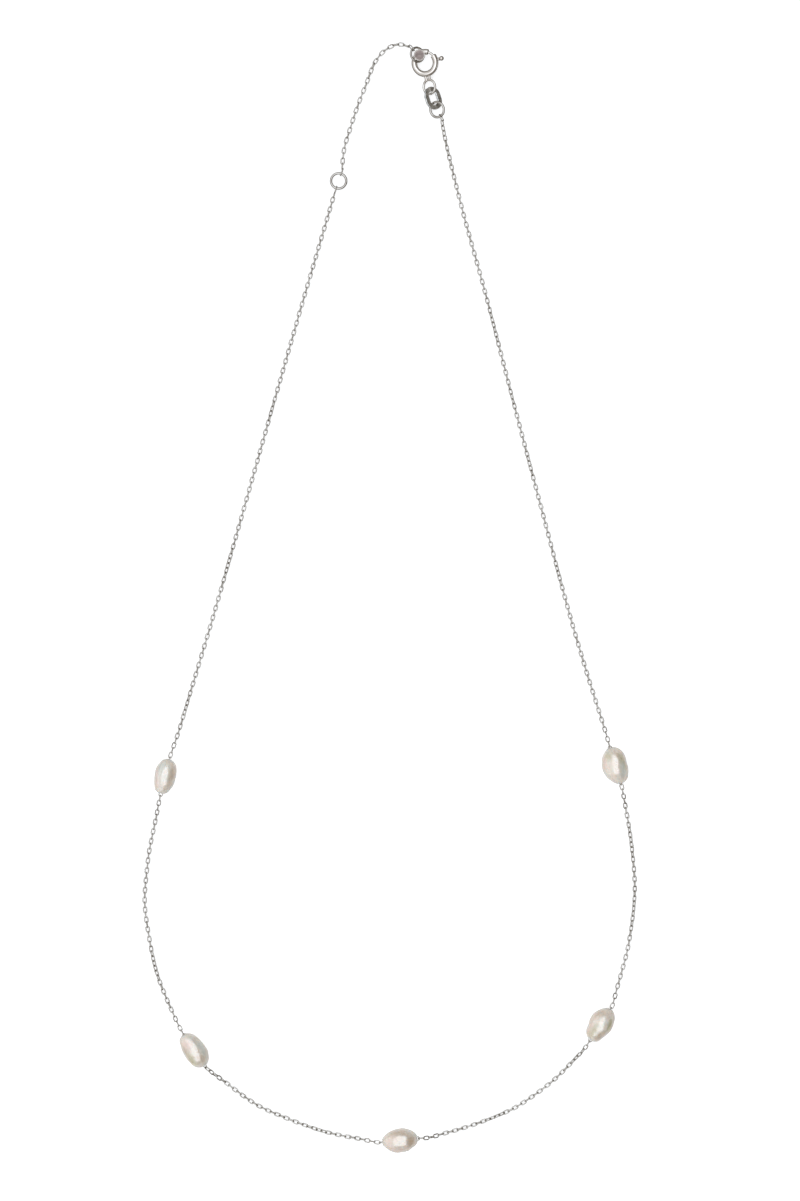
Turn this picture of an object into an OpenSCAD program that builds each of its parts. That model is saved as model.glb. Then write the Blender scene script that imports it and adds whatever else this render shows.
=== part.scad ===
// Station necklace: a fine cable chain with five baroque pearls, fastened and laid out flat in a long drop.
// X is to the right, Y runs up the drop to the clasp, and Z up from the surface it lies on. Millimetres.

/* [Chain] */
// Width of a link over its two sides
link_w = 0.82; // [0.78:0.02:0.9]
// Thickness of the links' wire
link_wire = 0.17; // [0.14:0.01:0.17]
// Distance from one link to the next on the short chain
link_pitch = 0.92; // [0.88:0.02:1.1]
// Free play between two links, and between an end link and its ring
link_play = 0.14; // [0.12:0.01:0.16]

/* [Pearls] */
// Length of the first pearl, high on the left
pearl_1_l = 6.1; // [5.5:0.1:7]
// Width of the first pearl
pearl_1_w = 3.9; // [3.4:0.1:4.6]
// Length of the second pearl, low on the left
pearl_2_l = 6.5; // [5.5:0.1:7]
// Width of the second pearl
pearl_2_w = 4.1; // [3.4:0.1:4.8]
// Length of the third pearl, at the bottom
pearl_3_l = 6.5; // [5.5:0.1:7]
// Width of the third pearl
pearl_3_w = 4.3; // [3.4:0.1:4.9]
// Length of the fourth pearl, low on the right
pearl_4_l = 6.4; // [5.5:0.1:7]
// Width of the fourth pearl
pearl_4_w = 4.4; // [3.4:0.1:5]
// Length of the fifth pearl, high on the right
pearl_5_l = 6.5; // [5.5:0.1:7]
// Width of the fifth pearl
pearl_5_w = 4.7; // [3.6:0.1:5.2]
// Height of a pearl as a share of its width
pearl_round = 0.96; // [0.86:0.01:1]
// Clearance of the chain in a pearl's drilled hole, on each side
drill_play = 0.15; // [0.12:0.01:0.2]

/* [Rings] */
// Thickness of the rings' wire
ring_wire = 0.42; // [0.34:0.01:0.44]
// Outer diameter of the end ring, which the clasp holds
end_ring_d = 3.68; // [3.6:0.02:3.8]
// Outer diameter of the adjuster ring
adjuster_ring_d = 3.1; // [2.6:0.05:3.6]
// Outer diameter of the jump ring
jump_ring_d = 3.08; // [2.9:0.02:3.2]

/* [Tag link] */
// Width of the tag link
tag_w = 3.25; // [3.1:0.05:3.4]
// Length of the tag link
tag_l = 4.1; // [4:0.05:4.3]
// Width of its bar on the long sides
tag_side = 0.91; // [0.8:0.01:0.95]
// Width of its bar at the ends
tag_end = 0.85; // [0.75:0.01:0.9]
// Thickness of the tag link
tag_thick = 0.36; // [0.25:0.01:0.4]

/* [Clasp] */
// Outer diameter of the spring ring
clasp_d = 4.86; // [4.7:0.02:5.1]
// Thickness of the spring ring's tube
tube_d = 1.0; // [0.94:0.01:1.02]
// Wall of the tube
tube_wall = 0.19; // [0.15:0.01:0.22]
// Clearance of the gate wire in the tube, on each side
gate_play = 0.1; // [0.06:0.01:0.12]
// How far the gate opens, in degrees
gate_travel = 33; // [28:1:36]
// Diameter of the round plate
plate_d = 1.94; // [1.7:0.02:2]
// Thickness of the round plate
plate_thick = 0.3; // [0.2:0.01:0.32]
// Depth of the dish in the round plate
dish = 0.08; // [0.04:0.01:0.12]
// Diameter of the knob's ball
knob_d = 0.84; // [0.7:0.02:0.9]
// Outer diameter of the eyelet
eyelet_d = 2.86; // [2.8:0.02:2.92]
// Thickness of the eyelet's wire
eyelet_wire = 0.4; // [0.34:0.01:0.42]

/* [Hidden] */
// How far a cut runs past the faces it opens
run_past = 0.05;
silver = "silver";
pearl_white = [0.86, 0.83, 0.79];

// Each ring's place, the direction in which it slopes up and its slope
ring_lift = 0.02;
end_ring_at = [5.14, 95.4, 1.37];
end_ring_slope = [232, 44];
jump_ring_at = [8.32, 85.45, 0.92];
jump_ring_slope = [23, 30];
adjuster_ring_at = [-8.95, 73.0, end_link_w() / 2 + ring_lift];
adjuster_ring_slope = [0, 0];
tag_at = [7.62, 87.45, 1.0];
tag_slope = [195, 29];
tag_turn = 18;
clasp_at = [6.2, 93.6, 1.17];
clasp_slope = [19, 17];

// Angles on the spring ring, from its own X axis
mouth_a = 40;
catch_a = 72;
plate_a = 124;
eyelet_a = -80;
knob_a = 13;
gate_tail_a = -25;

// Where the end links sit on their rings, as angles on each ring
short_on_end_ring = 157;
short_on_adjuster = 70;
long_on_adjuster = -108;
long_on_jump_ring = -62;

// The pearls' places and the turn of each one's axis
pearl_at = [[-39.3, -31.4], [-34.2, -79.3], [1.8, -95.1], [36.9, -74.8], [39.5, -29.5]];
pearl_turn = [76, 124, 6, 57, 107];
pearl_l = [pearl_1_l, pearl_2_l, pearl_3_l, pearl_4_l, pearl_5_l];
pearl_w = [pearl_1_w, pearl_2_w, pearl_3_w, pearl_4_w, pearl_5_w];

// Sections of each pearl: how far it swells to the left and to the right of its axis, as shares of half
// its width, at the places section_at along it, which are shares of half its length
left = 0;
right = 1;
section_at = [-1, -0.9, -0.7, -0.4, 0, 0.4, 0.7, 0.9, 1];
pearl_sections = [
    [[0.35, 0.35], [0.55, 0.50], [0.70, 0.70], [0.85, 0.90], [0.95, 0.95], [0.95, 0.90], [0.75, 0.75], [0.55, 0.50],
     [0.35, 0.35]],
    [[0.35, 0.35], [0.55, 0.50], [0.80, 0.75], [0.90, 0.95], [0.95, 0.95], [0.85, 0.85], [0.70, 0.70], [0.55, 0.45],
     [0.35, 0.35]],
    [[0.35, 0.30], [0.45, 0.40], [0.65, 0.65], [0.85, 0.90], [0.95, 0.95], [0.90, 0.90], [0.70, 0.65], [0.45, 0.45],
     [0.30, 0.30]],
    [[0.35, 0.35], [0.45, 0.50], [0.70, 0.65], [0.80, 0.80], [0.95, 0.95], [0.90, 0.85], [0.65, 0.70], [0.40, 0.45],
     [0.30, 0.35]],
    [[0.30, 0.35], [0.40, 0.50], [0.65, 0.70], [0.90, 0.85], [1.00, 0.90], [0.90, 0.90], [0.70, 0.75], [0.40, 0.50],
     [0.30, 0.35]]];

// The long chain's route, one list for each stretch between two pearls or rings
route_ring_to_1 = [[-15.5, 51], [-21.5, 30], [-27, 10.5], [-31, -3.5], [-34, -13.5], [-35.5, -18.5], [-37, -23.5]];
route_1_to_2 = [[-42, -43.5], [-42.5, -47], [-43, -53], [-42.5, -58], [-41, -65.5], [-38.5, -72]];
route_2_to_3 = [[-29, -85], [-23.5, -89], [-18, -91.5], [-12.5, -93.5], [-8.5, -94.5], [-5.5, -95]];
route_3_to_4 = [[8, -94.5], [13.5, -93], [19, -91], [23, -89], [28.5, -85], [33, -80.5]];
route_4_to_5 = [[40.5, -66.5], [42, -60.5], [43, -52], [42.5, -44], [41.5, -37.5]];
route_5_to_ring = [[37.5, -22.5], [34.5, -13], [31, -1], [26.5, 16], [21.5, 35], [17, 52.5], [13, 67], [10.5, 77],
                   [9.5, 81.5]];
// The short chain's route
route_short = [[1.8, 96.8], [0, 96.4], [-1.5, 95.3], [-2.6, 93.8], [-3.4, 92], [-4.2, 89.8], [-5.5, 86.5], [-7, 82],
               [-8, 78.5]];

// Extra length of an end link, which leaves its ring and the next link free to turn
end_link_slack = 0.3;

chain_sides = 8;
pearl_sides = 16;
floor_z = link_w / 2;
// How far the chain stays level past a pearl, and how long it takes to sink to the surface
level = 0.5;
sink = 4.5;
// The same where the chain leaves a ring
ring_level = 1.0;
ring_sink = 5;
// Turn of the route between two rings of the tube, and their spacing where the chain sinks
bend_step = 9;
sink_step = 1.9;

function end_link_w() = ring_wire + 2 * link_play + 2 * link_wire;
function end_link_l() = ring_wire + 3 * link_play + 3 * link_wire + end_link_slack;
function unit(v) = v / norm(v);
function fade(t) = let (u = min(max(t, 0), 1)) 1 - u * u * (3 - 2 * u);
function sum(list, i = 0) = i < len(list) ? list[i] + sum(list, i + 1) : 0;

// A direction in a flat ring's own plane, turned by the ring's slope [direction, slope]
function sloped(v, slope) =
    let (k = [sin(slope[0]), -cos(slope[0]), 0])
    v * cos(slope[1]) + cross(k, v) * sin(slope[1]) + k * (k * v) * (1 - cos(slope[1]));

// What holds an end link: [place, outward direction, direction of the ring's wire]
function seat(at, slope, ring_d, a) =
    let (out = sloped([cos(a), sin(a), 0], slope), along = sloped([-sin(a), cos(a), 0], slope))
    [at + out * ((ring_d - ring_wire) / 2 + end_link_l() / 2 - link_wire - link_play - ring_wire / 2), out, along];

seat_short_top = seat(end_ring_at, end_ring_slope, end_ring_d, short_on_end_ring);
seat_short_low = seat(adjuster_ring_at, adjuster_ring_slope, adjuster_ring_d, short_on_adjuster);
seat_left = seat(adjuster_ring_at, adjuster_ring_slope, adjuster_ring_d, long_on_adjuster);
seat_right = seat(jump_ring_at, jump_ring_slope, jump_ring_d, long_on_jump_ring);

// Roll of a link about its length, so that the wire of its ring passes straight through it
function seat_roll(s) =
    let (a = atan2(s[1][1], s[1][0]))
    atan2(s[2][0] * sin(a) - s[2][1] * cos(a), s[2][2]);

function pearl_z(i) = pearl_w[i] / 2 * pearl_round * max([for (s = pearl_sections[i]) (s[left] + s[right]) / 2]);
function pearl_tip(i, side) =
    pearl_at[i] + side * (pearl_l[i] / 2 + level) * [cos(pearl_turn[i]), sin(pearl_turn[i])];

// What holds the chain up: [place, height, how far it stays level, how long it takes to sink]
holds = concat([for (i = [0 : 4]) [pearl_at[i], pearl_z(i), pearl_l[i] / 2 + level, sink]],
               [for (s = [seat_short_top, seat_short_low, seat_left, seat_right])
                   [[s[0][0], s[0][1]], s[0][2], ring_level, ring_sink]]);
function chain_z(p) = floor_z + sum([for (h = holds) (h[1] - floor_z) * fade((norm(p - h[0]) - h[2]) / h[3])]);
function lifted(p) = [p[0], p[1], chain_z(p)];
function sinks(p) = max([for (h = holds) norm(p - h[0]) < h[2] + h[3] ? 1 : 0]) == 1;

// A smooth curve through points: the point at share t between points i and i + 1
function curve_point(p, i, t) =
    let (a = p[max(i - 1, 0)], b = p[i], c = p[i + 1], d = p[min(i + 2, len(p) - 1)])
    b + t / 2 * ((c - a) + t * ((2 * a - 5 * b + 4 * c - d) + t * (3 * b - a - 3 * c + d)));
function turn_at(p, i) =
    i < 1 || i > len(p) - 2 ? 0 :
    acos(min(1, unit(p[i] - p[i - 1]) * unit(p[i + 1] - p[i])));
function steps_at(p, i) =
    let (bends = ceil(max(turn_at(p, i), turn_at(p, i + 1)) / bend_step), long = norm(p[i + 1] - p[i]))
    max(1, bends, sinks((p[i] + p[i + 1]) / 2) ? ceil(long / sink_step) : 1);
function stretch(p) = concat([for (i = [0 : len(p) - 2], j = [0 : steps_at(p, i) - 1])
                                 lifted(curve_point(p, i, j / steps_at(p, i)))],
                             [lifted(p[len(p) - 1])]);

function flat(p) = [p[0], p[1]];
function link_tail(s) = s[0] + s[1] * (end_link_l() - link_wire) / 2;
half_pearl = [pearl_at[2][0], pearl_at[2][1], pearl_z(2)];

path_left = concat([link_tail(seat_left)],
                   stretch(concat([flat(link_tail(seat_left)) + flat(seat_left[1]) * sink_step],
                                  route_ring_to_1, [pearl_tip(0, 1)])),
                   stretch(concat([pearl_tip(0, -1)], route_1_to_2, [pearl_tip(1, 1)])),
                   stretch(concat([pearl_tip(1, -1)], route_2_to_3, [pearl_tip(2, -1)])),
                   [half_pearl]);
path_right = concat([half_pearl],
                    stretch(concat([pearl_tip(2, 1)], route_3_to_4, [pearl_tip(3, -1)])),
                    stretch(concat([pearl_tip(3, 1)], route_4_to_5, [pearl_tip(4, -1)])),
                    stretch(concat([pearl_tip(4, 1)], route_5_to_ring)),
                    [link_tail(seat_right)]);

// A closed solid through rings of points, each with the same number of points
module skin(rings) {
    n = len(rings[0]);
    m = len(rings);
    sides = [for (i = [0 : m - 2], k = [0 : n - 1])
                let (a = i * n + k, b = i * n + (k + 1) % n)
                each [[a, b, b + n], [a, b + n, a + n]]];
    first = [for (k = [n - 1 : -1 : 0]) k];
    last = [for (k = [0 : n - 1]) (m - 1) * n + k];
    polyhedron([for (ring = rings) each ring], concat(sides, [first, last]), convexity = 6);
}

// A round tube of the chain's width along a path
module chain_tube(path) {
    last = len(path) - 1;
    r = link_w / 2 / cos(180 / chain_sides);
    skin([for (i = [0 : last])
        let (along = unit(path[min(i + 1, last)] - path[max(i - 1, 0)]),
             side = unit(cross(along, [0, 0, 1])),
             up = cross(side, along))
        [for (k = [0 : chain_sides - 1])
            let (a = 360 * (k + 0.5) / chain_sides)
            path[i] + r * (cos(a) * up - sin(a) * side)]]);
}

// A link lying along X in the XY plane: two half turns of wire and two straight sides
module link(w, l) {
    bend_r = (w - link_wire) / 2;
    straight = l - w;
    for (end = [0, 1]) {
        rotate([0, 0, 180 * end]) {
            translate([straight / 2, 0, 0])
                rotate([0, 0, -90])
                    rotate_extrude(angle = 180)
                        translate([bend_r, 0])
                            circle(d = link_wire);
            translate([-straight / 2, bend_r, 0])
                rotate([0, 90, 0])
                    cylinder(d = link_wire, h = straight);
        }
    }
}

// Puts a link at a place, along a direction and rolled about it
module placed_link(at, along, roll, w, l) {
    translate(at)
        rotate([0, -asin(unit(along)[2]), atan2(along[1], along[0])])
            rotate([roll, 0, 0])
                link(w, l);
}

module end_link(s) {
    placed_link(s[0], s[1], seat_roll(s), end_link_w(), end_link_l());
}

module chain_left() {
    color(silver) {
        chain_tube(path_left);
        end_link(seat_left);
    }
}

module chain_right() {
    color(silver) {
        chain_tube(path_right);
        end_link(seat_right);
    }
}

// The short chain's links, spaced evenly along its route and turned about a right angle from one to the next
short_fine = 8;
short_points = concat([flat(seat_short_top[0])], route_short, [flat(seat_short_low[0])]);
short_path = concat([for (i = [0 : len(short_points) - 2], j = [0 : short_fine - 1])
                        lifted(curve_point(short_points, i, j / short_fine))],
                    [seat_short_low[0]]);
short_runs = [for (i = 0, s = 0; i < len(short_path);
                   s = s + (i + 1 < len(short_path) ? norm(short_path[i + 1] - short_path[i]) : 0), i = i + 1) s];
function short_at(s) = [for (k = [0 : 2]) lookup(s, [for (i = [0 : len(short_path) - 1])
                                                        [short_runs[i], short_path[i][k]]])];
short_length = short_runs[len(short_runs) - 1];
short_run = short_length - end_link_l() + 2 * link_wire + link_play;
short_steps = round(short_run / link_pitch) + 1;
short_pitch = short_run / (short_steps - 1);
short_link_l = short_pitch + 2 * link_wire + link_play;
// How far along the chain each link lies: the end links are longer, so their neighbours are further off
function short_place(i) = i == 0 ? 0 : i == short_steps ? short_length :
                          i * short_pitch + (end_link_l() - short_link_l) / 2;
roll_first = seat_roll(seat_short_top);
roll_last = 90;
roll_step = (roll_last + 180 * round((roll_first + 90 * short_steps - roll_last) / 180) - roll_first) / short_steps;

module chain_short() {
    color(silver)
        for (i = [0 : short_steps]) {
            at_end = i == 0 || i == short_steps;
            s = short_place(i);
            ahead = short_at(min(s + short_pitch / 2, short_length)) - short_at(max(s - short_pitch / 2, 0));
            along = i == 0 ? seat_short_top[1] : i == short_steps ? -seat_short_low[1] : ahead;
            placed_link(short_at(s), along, roll_first + i * roll_step, at_end ? end_link_w() : link_w,
                        at_end ? end_link_l() : short_link_l);
        }
}

// A pearl lofted through its sections, resting on the surface and drilled along its length for the chain
module pearl(i) {
    half_l = pearl_l[i] / 2;
    half_w = pearl_w[i] / 2;
    color(pearl_white)
        translate([pearl_at[i][0], pearl_at[i][1], pearl_z(i)])
            rotate([0, 0, pearl_turn[i]])
                difference() {
                    skin([for (j = [0 : len(section_at) - 1])
                        let (s = pearl_sections[i][j])
                        [for (k = [0 : pearl_sides - 1])
                            let (a = 360 * k / pearl_sides)
                            [section_at[j] * half_l,
                             (sin(a) > 0 ? s[left] : s[right]) * half_w * sin(a),
                             (s[left] + s[right]) / 2 * half_w * pearl_round * cos(a)]]]);
                    translate([-half_l - run_past, 0, 0])
                        rotate([0, 90, 0])
                            cylinder(d = link_w + 2 * drill_play, h = pearl_l[i] + 2 * run_past);
                }
}

module wire_ring(outer_d, wire) {
    rotate_extrude()
        translate([(outer_d - wire) / 2, 0])
            circle(d = wire);
}

module on_slope(at, slope) {
    translate(at)
        rotate(a = slope[1], v = [sin(slope[0]), -cos(slope[0]), 0])
            children();
}

module end_ring() {
    color(silver)
        on_slope(end_ring_at, end_ring_slope)
            wire_ring(end_ring_d, ring_wire);
}

module adjuster_ring() {
    color(silver)
        on_slope(adjuster_ring_at, adjuster_ring_slope)
            wire_ring(adjuster_ring_d, ring_wire);
}

module jump_ring() {
    color(silver)
        on_slope(jump_ring_at, jump_ring_slope)
            wire_ring(jump_ring_d, ring_wire);
}

// An outline with two straight sides along Y and round ends
module oval(w, l) {
    for (end = [-1, 1])
        translate([0, end * (l - w) / 2])
            circle(d = w);
    square([w, l - w], center = true);
}

module tag_link() {
    color(silver)
        on_slope(tag_at, tag_slope)
            rotate([0, 0, tag_turn])
                translate([0, 0, -tag_thick / 2])
                    linear_extrude(tag_thick)
                        difference() {
                            oval(tag_w, tag_l);
                            oval(tag_w - 2 * tag_side, tag_l - 2 * tag_end);
                        }
}

// The spring ring's own measures, worked out from its diameter and tube
tube_r = (clasp_d - tube_d) / 2;
bore_d = tube_d - 2 * tube_wall;
gate_d = bore_d - 2 * gate_play;
plate_r = 1.74;
plate_z = 0.47;
plate_rim = 0.19;
eyelet_r = 4.25;
eyelet_twist = 20;
stem_d = 0.3;
slot_w = stem_d + 2 * gate_play;
collar_d = 0.6;
collar_l = 0.12;
knob_gap = 0.12;
knob_r = clasp_d / 2 + knob_gap + collar_l + knob_d / 2;
catch_depth_a = 1.5;
// Angle from the stem's middle to the slot's end, and the bore's run past the tube's ends
slot_room_a = asin(slot_w / 2 / tube_r);
leg_spread = 0.32;

// A bent round bar about Z from one angle to another
module bent_bar(r, d, from_a, to_a) {
    rotate([0, 0, from_a])
        rotate_extrude(angle = to_a - from_a)
            translate([r, 0])
                circle(d = d);
}

module clasp_body() {
    leg_in = clasp_d / 2 - tube_wall / 2;
    leg_out = eyelet_r - eyelet_d / 2 + eyelet_wire / 2;
    color(silver)
        on_slope(clasp_at, clasp_slope)
            difference() {
                union() {
                    bent_bar(tube_r, tube_d, catch_a, 360 + mouth_a);
                    rotate([0, 0, plate_a])
                        translate([plate_r, 0, plate_z - plate_thick / 2])
                            cylinder(d = plate_d, h = plate_thick);
                    rotate([0, 0, eyelet_a]) {
                        translate([eyelet_r, 0, 0])
                            rotate([eyelet_twist, 0, 0])
                                wire_ring(eyelet_d, eyelet_wire);
                        for (side = [-1, 1])
                            translate([leg_in, side * leg_spread, 0])
                                rotate([0, 90, 0])
                                    cylinder(d = eyelet_wire, h = leg_out - leg_in);
                    }
                }
                bent_bar(tube_r, bore_d, catch_a - slot_room_a, 360 + mouth_a + slot_room_a);
                rotate([0, 0, knob_a - gate_travel - slot_room_a])
                    rotate_extrude(angle = gate_travel + 2 * slot_room_a)
                        translate([tube_r, -slot_w / 2])
                            square([tube_d, slot_w]);
                rotate([0, 0, plate_a])
                    translate([plate_r, 0, plate_z + plate_thick / 2 - dish])
                        cylinder(d = plate_d - 2 * plate_rim, h = dish + run_past);
            }
}

module clasp_gate() {
    color(silver)
        on_slope(clasp_at, clasp_slope) {
            bent_bar(tube_r, gate_d, gate_tail_a, catch_a + catch_depth_a);
            rotate([0, 0, knob_a]) {
                translate([tube_r, 0, 0])
                    rotate([0, 90, 0])
                        cylinder(d = stem_d, h = knob_r - tube_r);
                translate([clasp_d / 2 + knob_gap, 0, 0])
                    rotate([0, 90, 0])
                        cylinder(d = collar_d, h = collar_l);
                translate([knob_r, 0, 0])
                    sphere(d = knob_d);
            }
        }
}

chain_left();
chain_right();
chain_short();
pearl(0);  // pearl_1
pearl(1);  // pearl_2
pearl(2);  // pearl_3
pearl(3);  // pearl_4
pearl(4);  // pearl_5
end_ring();
adjuster_ring();
jump_ring();
tag_link();
clasp_body();
clasp_gate();
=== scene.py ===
"""Looks of a pearl station necklace: cable links, baroque pearls, spring ring clasp, light and camera."""
import math
import random

import bpy
import numpy as np
from mathutils import Matrix, Vector, noise


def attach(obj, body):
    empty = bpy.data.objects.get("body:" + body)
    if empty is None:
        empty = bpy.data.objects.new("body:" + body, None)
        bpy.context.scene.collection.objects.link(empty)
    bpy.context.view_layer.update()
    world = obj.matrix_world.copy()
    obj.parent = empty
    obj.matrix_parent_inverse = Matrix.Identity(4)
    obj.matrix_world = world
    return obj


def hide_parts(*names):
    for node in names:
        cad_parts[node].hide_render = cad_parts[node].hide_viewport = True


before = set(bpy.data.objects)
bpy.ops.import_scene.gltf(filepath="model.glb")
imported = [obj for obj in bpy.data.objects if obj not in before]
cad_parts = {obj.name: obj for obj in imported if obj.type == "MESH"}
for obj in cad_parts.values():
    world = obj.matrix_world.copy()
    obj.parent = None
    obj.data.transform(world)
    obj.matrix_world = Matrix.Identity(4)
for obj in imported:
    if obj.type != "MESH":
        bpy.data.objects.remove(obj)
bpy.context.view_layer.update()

MM = 0.001
BODY = "necklace"
TURN = 2 * math.pi

# The necklace's measures, in millimetres. They are the CAD part's, but for the links, the end ring, the
# length of pearl 3 and the clasp's round plate, which follow the real ones more closely.
LINK_W, LINK_WIRE, LINK_PITCH = 0.8, 0.2, 0.866
SHORT_PITCH = 0.92
END_LINK_W, END_LINK_L = 0.94, 1.5
RING_WIRE = 0.42
CAD_LINK_WIRE, CAD_PLAY, CAD_SLACK = 0.17, 0.14, 0.3

# Each ring's middle, its slope (the direction of its high side and how far that is tipped up) and its width
RINGS = {
    "end_ring": dict(at=(4.84, 95.06, 1.08), slope=(190, 28), d=2.90),
    "jump_ring": dict(at=(8.32, 85.45, 0.92), slope=(23, 30), d=3.08),
    "adjuster_ring": dict(at=(-8.95, 73.0, 0.54), slope=(0, 0), d=3.1),
}
# Each pearl's middle, its turn in degrees, its length and its width
PEARL_AT = [(-39.3, -31.4), (-34.2, -79.3), (1.8, -95.1), (36.9, -74.8), (39.5, -29.5)]
PEARL_TURN = [76, 124, 6, 57, 107]
PEARL_L = [6.1, 6.5, 6.2, 6.4, 6.5]
PEARL_W = [3.9, 4.1, 4.3, 4.4, 4.7]
# A pearl's height as a share of its width
PEARL_ROUND = 0.96
# How far each pearl swells to the left and to the right of its axis, as shares of half its width, at seven
# shares of its half length
SECTION_AT = [-0.9, -0.7, -0.4, 0, 0.4, 0.7, 0.9]
SECTIONS = [
    [(0.55, 0.50), (0.70, 0.70), (0.85, 0.90), (0.95, 0.95), (0.95, 0.90), (0.75, 0.75), (0.55, 0.50)],
    [(0.55, 0.50), (0.80, 0.75), (0.90, 0.95), (0.95, 0.95), (0.85, 0.85), (0.70, 0.70), (0.55, 0.45)],
    [(0.42, 0.38), (0.65, 0.65), (0.85, 0.90), (0.95, 0.95), (0.90, 0.90), (0.70, 0.65), (0.45, 0.45)],
    [(0.45, 0.50), (0.70, 0.65), (0.80, 0.80), (0.95, 0.95), (0.90, 0.85), (0.65, 0.70), (0.40, 0.45)],
    [(0.40, 0.50), (0.65, 0.70), (0.90, 0.85), (1.00, 0.90), (0.90, 0.90), (0.70, 0.75), (0.40, 0.50)],
]
# The end at which the long chain comes into each pearl and the end at which it leaves: 1 is the end that the
# pearl's turn points to
PEARL_ENDS = [(1, -1), (1, -1), (-1, 1), (-1, 1), (-1, 1)]
# Places that the long chain lies on, between the adjuster ring, the pearls and the jump ring
ROUTES = [
    [(-15.5, 51), (-21.5, 30), (-27, 10.5), (-31, -3.5), (-34, -13.5), (-35.5, -18.5), (-37, -23.5)],
    [(-42, -43.5), (-42.5, -47), (-43, -53), (-42.5, -58), (-41, -65.5), (-38.5, -72)],
    [(-29, -85), (-23.5, -89), (-18, -91.5), (-12.5, -93.5), (-8.5, -94.5), (-5.5, -95)],
    [(8, -94.5), (13.5, -93), (19, -91), (23, -89), (28.5, -85), (33, -80.5)],
    [(40.5, -66.5), (42, -60.5), (43, -52), (42.5, -44), (41.5, -37.5)],
    [(37.5, -22.5), (34.5, -13), (31, -1), (26.5, 16), (21.5, 35), (17, 52.5), (13, 67), (10.5, 77),
     (9.5, 81.5)],
]
# Places that the short chain lies on, between the end ring and the adjuster ring
ROUTE_SHORT = [(1.8, 96.8), (0, 96.4), (-1.5, 95.3), (-2.6, 93.8), (-3.4, 92), (-4.2, 89.8), (-5.5, 86.5),
               (-7, 82), (-8, 78.5)]

# How far the chain stays level beside a pearl and beside a ring, and over what run it then sinks
LEVEL, SINK = 0.5, 4.5
RING_LEVEL, RING_SINK = 1.0, 5.0
# How far the long chain leaves the adjuster ring in the direction of its end link
STRAIGHT_TAIL = 1.2


# Places along the chain
def unit(v):
    """The direction of a vector."""
    v = np.asarray(v, float)
    return v / np.linalg.norm(v)


def turned(v, axis, degrees):
    """A vector turned about an axis."""
    return np.array(Matrix.Rotation(math.radians(degrees), 3, Vector(axis)) @ Vector(v))


def sloped(v, slope):
    """A direction in a flat ring's plane, tipped as the ring is."""
    direction = math.radians(slope[0])
    return turned(v, (math.sin(direction), -math.cos(direction), 0), slope[1])


def seat(ring, degrees):
    """Where an end link sits on a ring: its middle, its outward direction and the ring wire's direction."""
    a = math.radians(degrees)
    cad_link_l = RING_WIRE + 3 * CAD_PLAY + 3 * CAD_LINK_WIRE + CAD_SLACK
    out = sloped((math.cos(a), math.sin(a), 0), ring["slope"])
    along = sloped((-math.sin(a), math.cos(a), 0), ring["slope"])
    reach = (ring["d"] - RING_WIRE) / 2 + cad_link_l / 2 - CAD_LINK_WIRE - CAD_PLAY - RING_WIRE / 2
    return np.array(ring["at"]) + out * reach, out, along


# Where the four end links sit on their rings
SEAT_TOP = seat(RINGS["end_ring"], 135)
SEAT_LOW = seat(RINGS["adjuster_ring"], 70)
SEAT_LEFT = seat(RINGS["adjuster_ring"], -108)
SEAT_RIGHT = seat(RINGS["jump_ring"], -62)


def pearl_height(i):
    """Height of a pearl's middle where it lies."""
    return PEARL_W[i] / 2 * PEARL_ROUND * max((l + r) / 2 for l, r in SECTIONS[i])


def pearl_axis(i):
    """The direction along a pearl."""
    a = math.radians(PEARL_TURN[i])
    return np.array([math.cos(a), math.sin(a)])


def pearl_tip(i, side):
    """A place on the chain just outside one end of a pearl."""
    return np.array(PEARL_AT[i]) + side * (PEARL_L[i] / 2 + LEVEL) * pearl_axis(i)


# What holds the chain up: place, height, and how far it stays level and then sinks
HOLDS = [(np.array(PEARL_AT[i]), pearl_height(i), PEARL_L[i] / 2 + LEVEL, SINK) for i in range(5)]
HOLDS += [(s[0][:2], s[0][2], RING_LEVEL, RING_SINK) for s in (SEAT_TOP, SEAT_LOW, SEAT_LEFT, SEAT_RIGHT)]


def fade(t):
    """Falls smoothly from 1 to 0 while t runs from 0 to 1."""
    u = min(max(t, 0.0), 1.0)
    return 1 - u * u * (3 - 2 * u)


def chain_height(p, rest):
    """Height of the chain's middle over a place: lifted by pearls and rings, else lying on the surface."""
    return rest + sum((h - rest) * fade((math.dist(p, at) - level) / sink) for at, h, level, sink in HOLDS)


def smooth_curve(points, fine=24):
    """A smooth curve through points, as many close points."""
    p = [np.array(q, float) for q in points]
    out = []
    for i in range(len(p) - 1):
        a, b, c, d = p[max(i - 1, 0)], p[i], p[i + 1], p[min(i + 2, len(p) - 1)]
        for j in range(fine):
            t = j / fine
            second, third = 2 * a - 5 * b + 4 * c - d, 3 * b - a - 3 * c + d
            out.append(b + t / 2 * ((c - a) + t * (second + t * third)))
    out.append(p[-1])
    return out


class Route:
    """A path on the surface, which gives a place for each distance along it."""

    def __init__(self, points):
        self.points = np.array(points)
        steps = np.linalg.norm(np.diff(self.points, axis=0), axis=1)
        self.runs = np.concatenate([[0], np.cumsum(steps)])
        self.length = self.runs[-1]

    def at(self, s):
        """The place at a distance along the path."""
        return np.array([np.interp(s, self.runs, self.points[:, k]) for k in (0, 1)])

    def nearest(self, place):
        """How far along the path it comes nearest to a place."""
        return self.runs[np.argmin(np.linalg.norm(self.points - np.array(place), axis=1))]


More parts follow.
